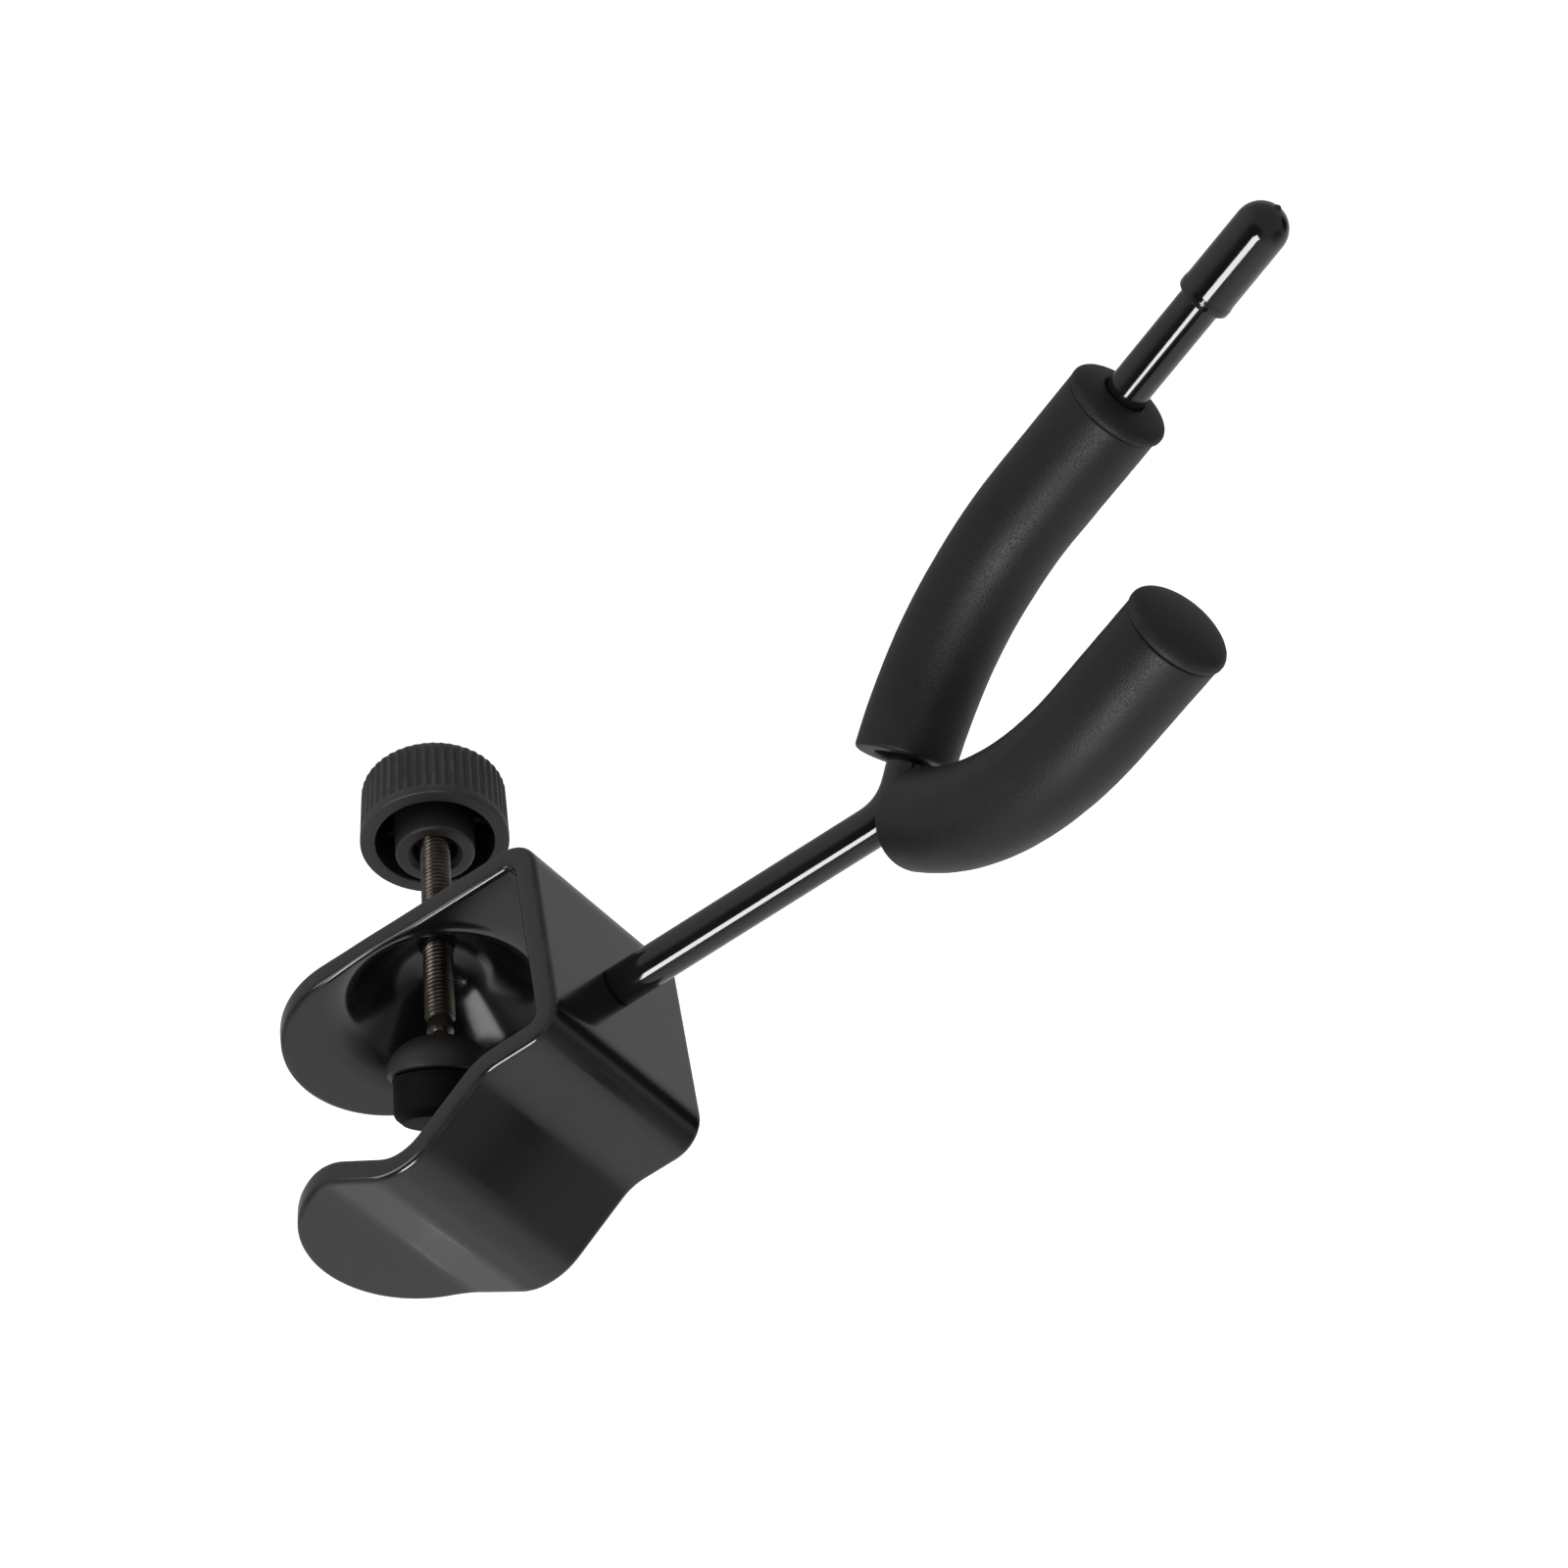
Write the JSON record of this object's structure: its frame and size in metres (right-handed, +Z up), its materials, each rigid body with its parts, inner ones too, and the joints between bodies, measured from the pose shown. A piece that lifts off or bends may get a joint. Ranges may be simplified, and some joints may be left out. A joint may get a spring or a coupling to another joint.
{
  "type": "clamp-on instrument hanger",
  "caption": "Steel C-clamp with a thumb screw and swivel pad, carrying a rod that parts into two foam-covered arms to cradle an instrument.",
  "frame": {"origin": "on the flat land of the fixed jaw beside the web, half way up the bracket", "axes": "+X from the fixed jaw towards the knob, +Y out of the clamp's mouth, +Z up along a clamped upright tube; the yoke reaches towards -Y and rises towards +Z"},
  "size_m": [0.1211, 0.2576, 0.0709],
  "materials": {
    "bracket_paint": "semi-gloss black paint",
    "rod_paint": "high-gloss black paint",
    "foam": "matte closed-cell foam",
    "end_foam": "matte moulded foam rubber",
    "vinyl": "glossy dipped vinyl",
    "screw_steel": "blackened steel",
    "knob_plastic": "matte moulded plastic",
    "pad_plastic": "satin moulded plastic",
    "pad_rubber": "matte rubber"
  },
  "bodies": {
    "frame": {"clamp_bracket": "bracket_paint", "long_rod": "rod_paint", "short_rod": "rod_paint", "long_foam_sleeve": "foam", "short_foam_sleeve": "foam", "sleeve_end_collar": "end_foam", "sleeve_end_cap": "end_foam", "rod_tip_cap": "vinyl"},
    "ball_carriage": {"swivel_ball": "screw_steel"},
    "screw": {"clamp_screw": "screw_steel", "knob": "knob_plastic"},
    "pad": {"pad_cap": "pad_plastic", "pad_foot": "pad_rubber"}
  },
  "joints": [
    {"name": "clamp_travel", "type": "slide", "parent": "frame", "child": "ball_carriage", "axis": [0.9959, -0.0906, 0], "range_m": [-0.019, 0.015]},
    {"name": "knob_turn", "type": "hinge", "parent": "ball_carriage", "child": "screw", "pos_m": [0.02992, 0.03132, 0], "axis": [0.9959, -0.0906, 0], "range_deg": [-6840, 5400]},
    {"name": "pad_swivel", "type": "hinge", "parent": "ball_carriage", "child": "pad", "pos_m": [0.02992, 0.03132, 0], "axis": [-0.0674, -0.7401, -0.6691], "range_deg": [-54, 0]}
  ],
  "couplings": [
    {"joint": "clamp_travel", "follows": "knob_turn", "m_per_rad": 0.00015915}
  ]
}
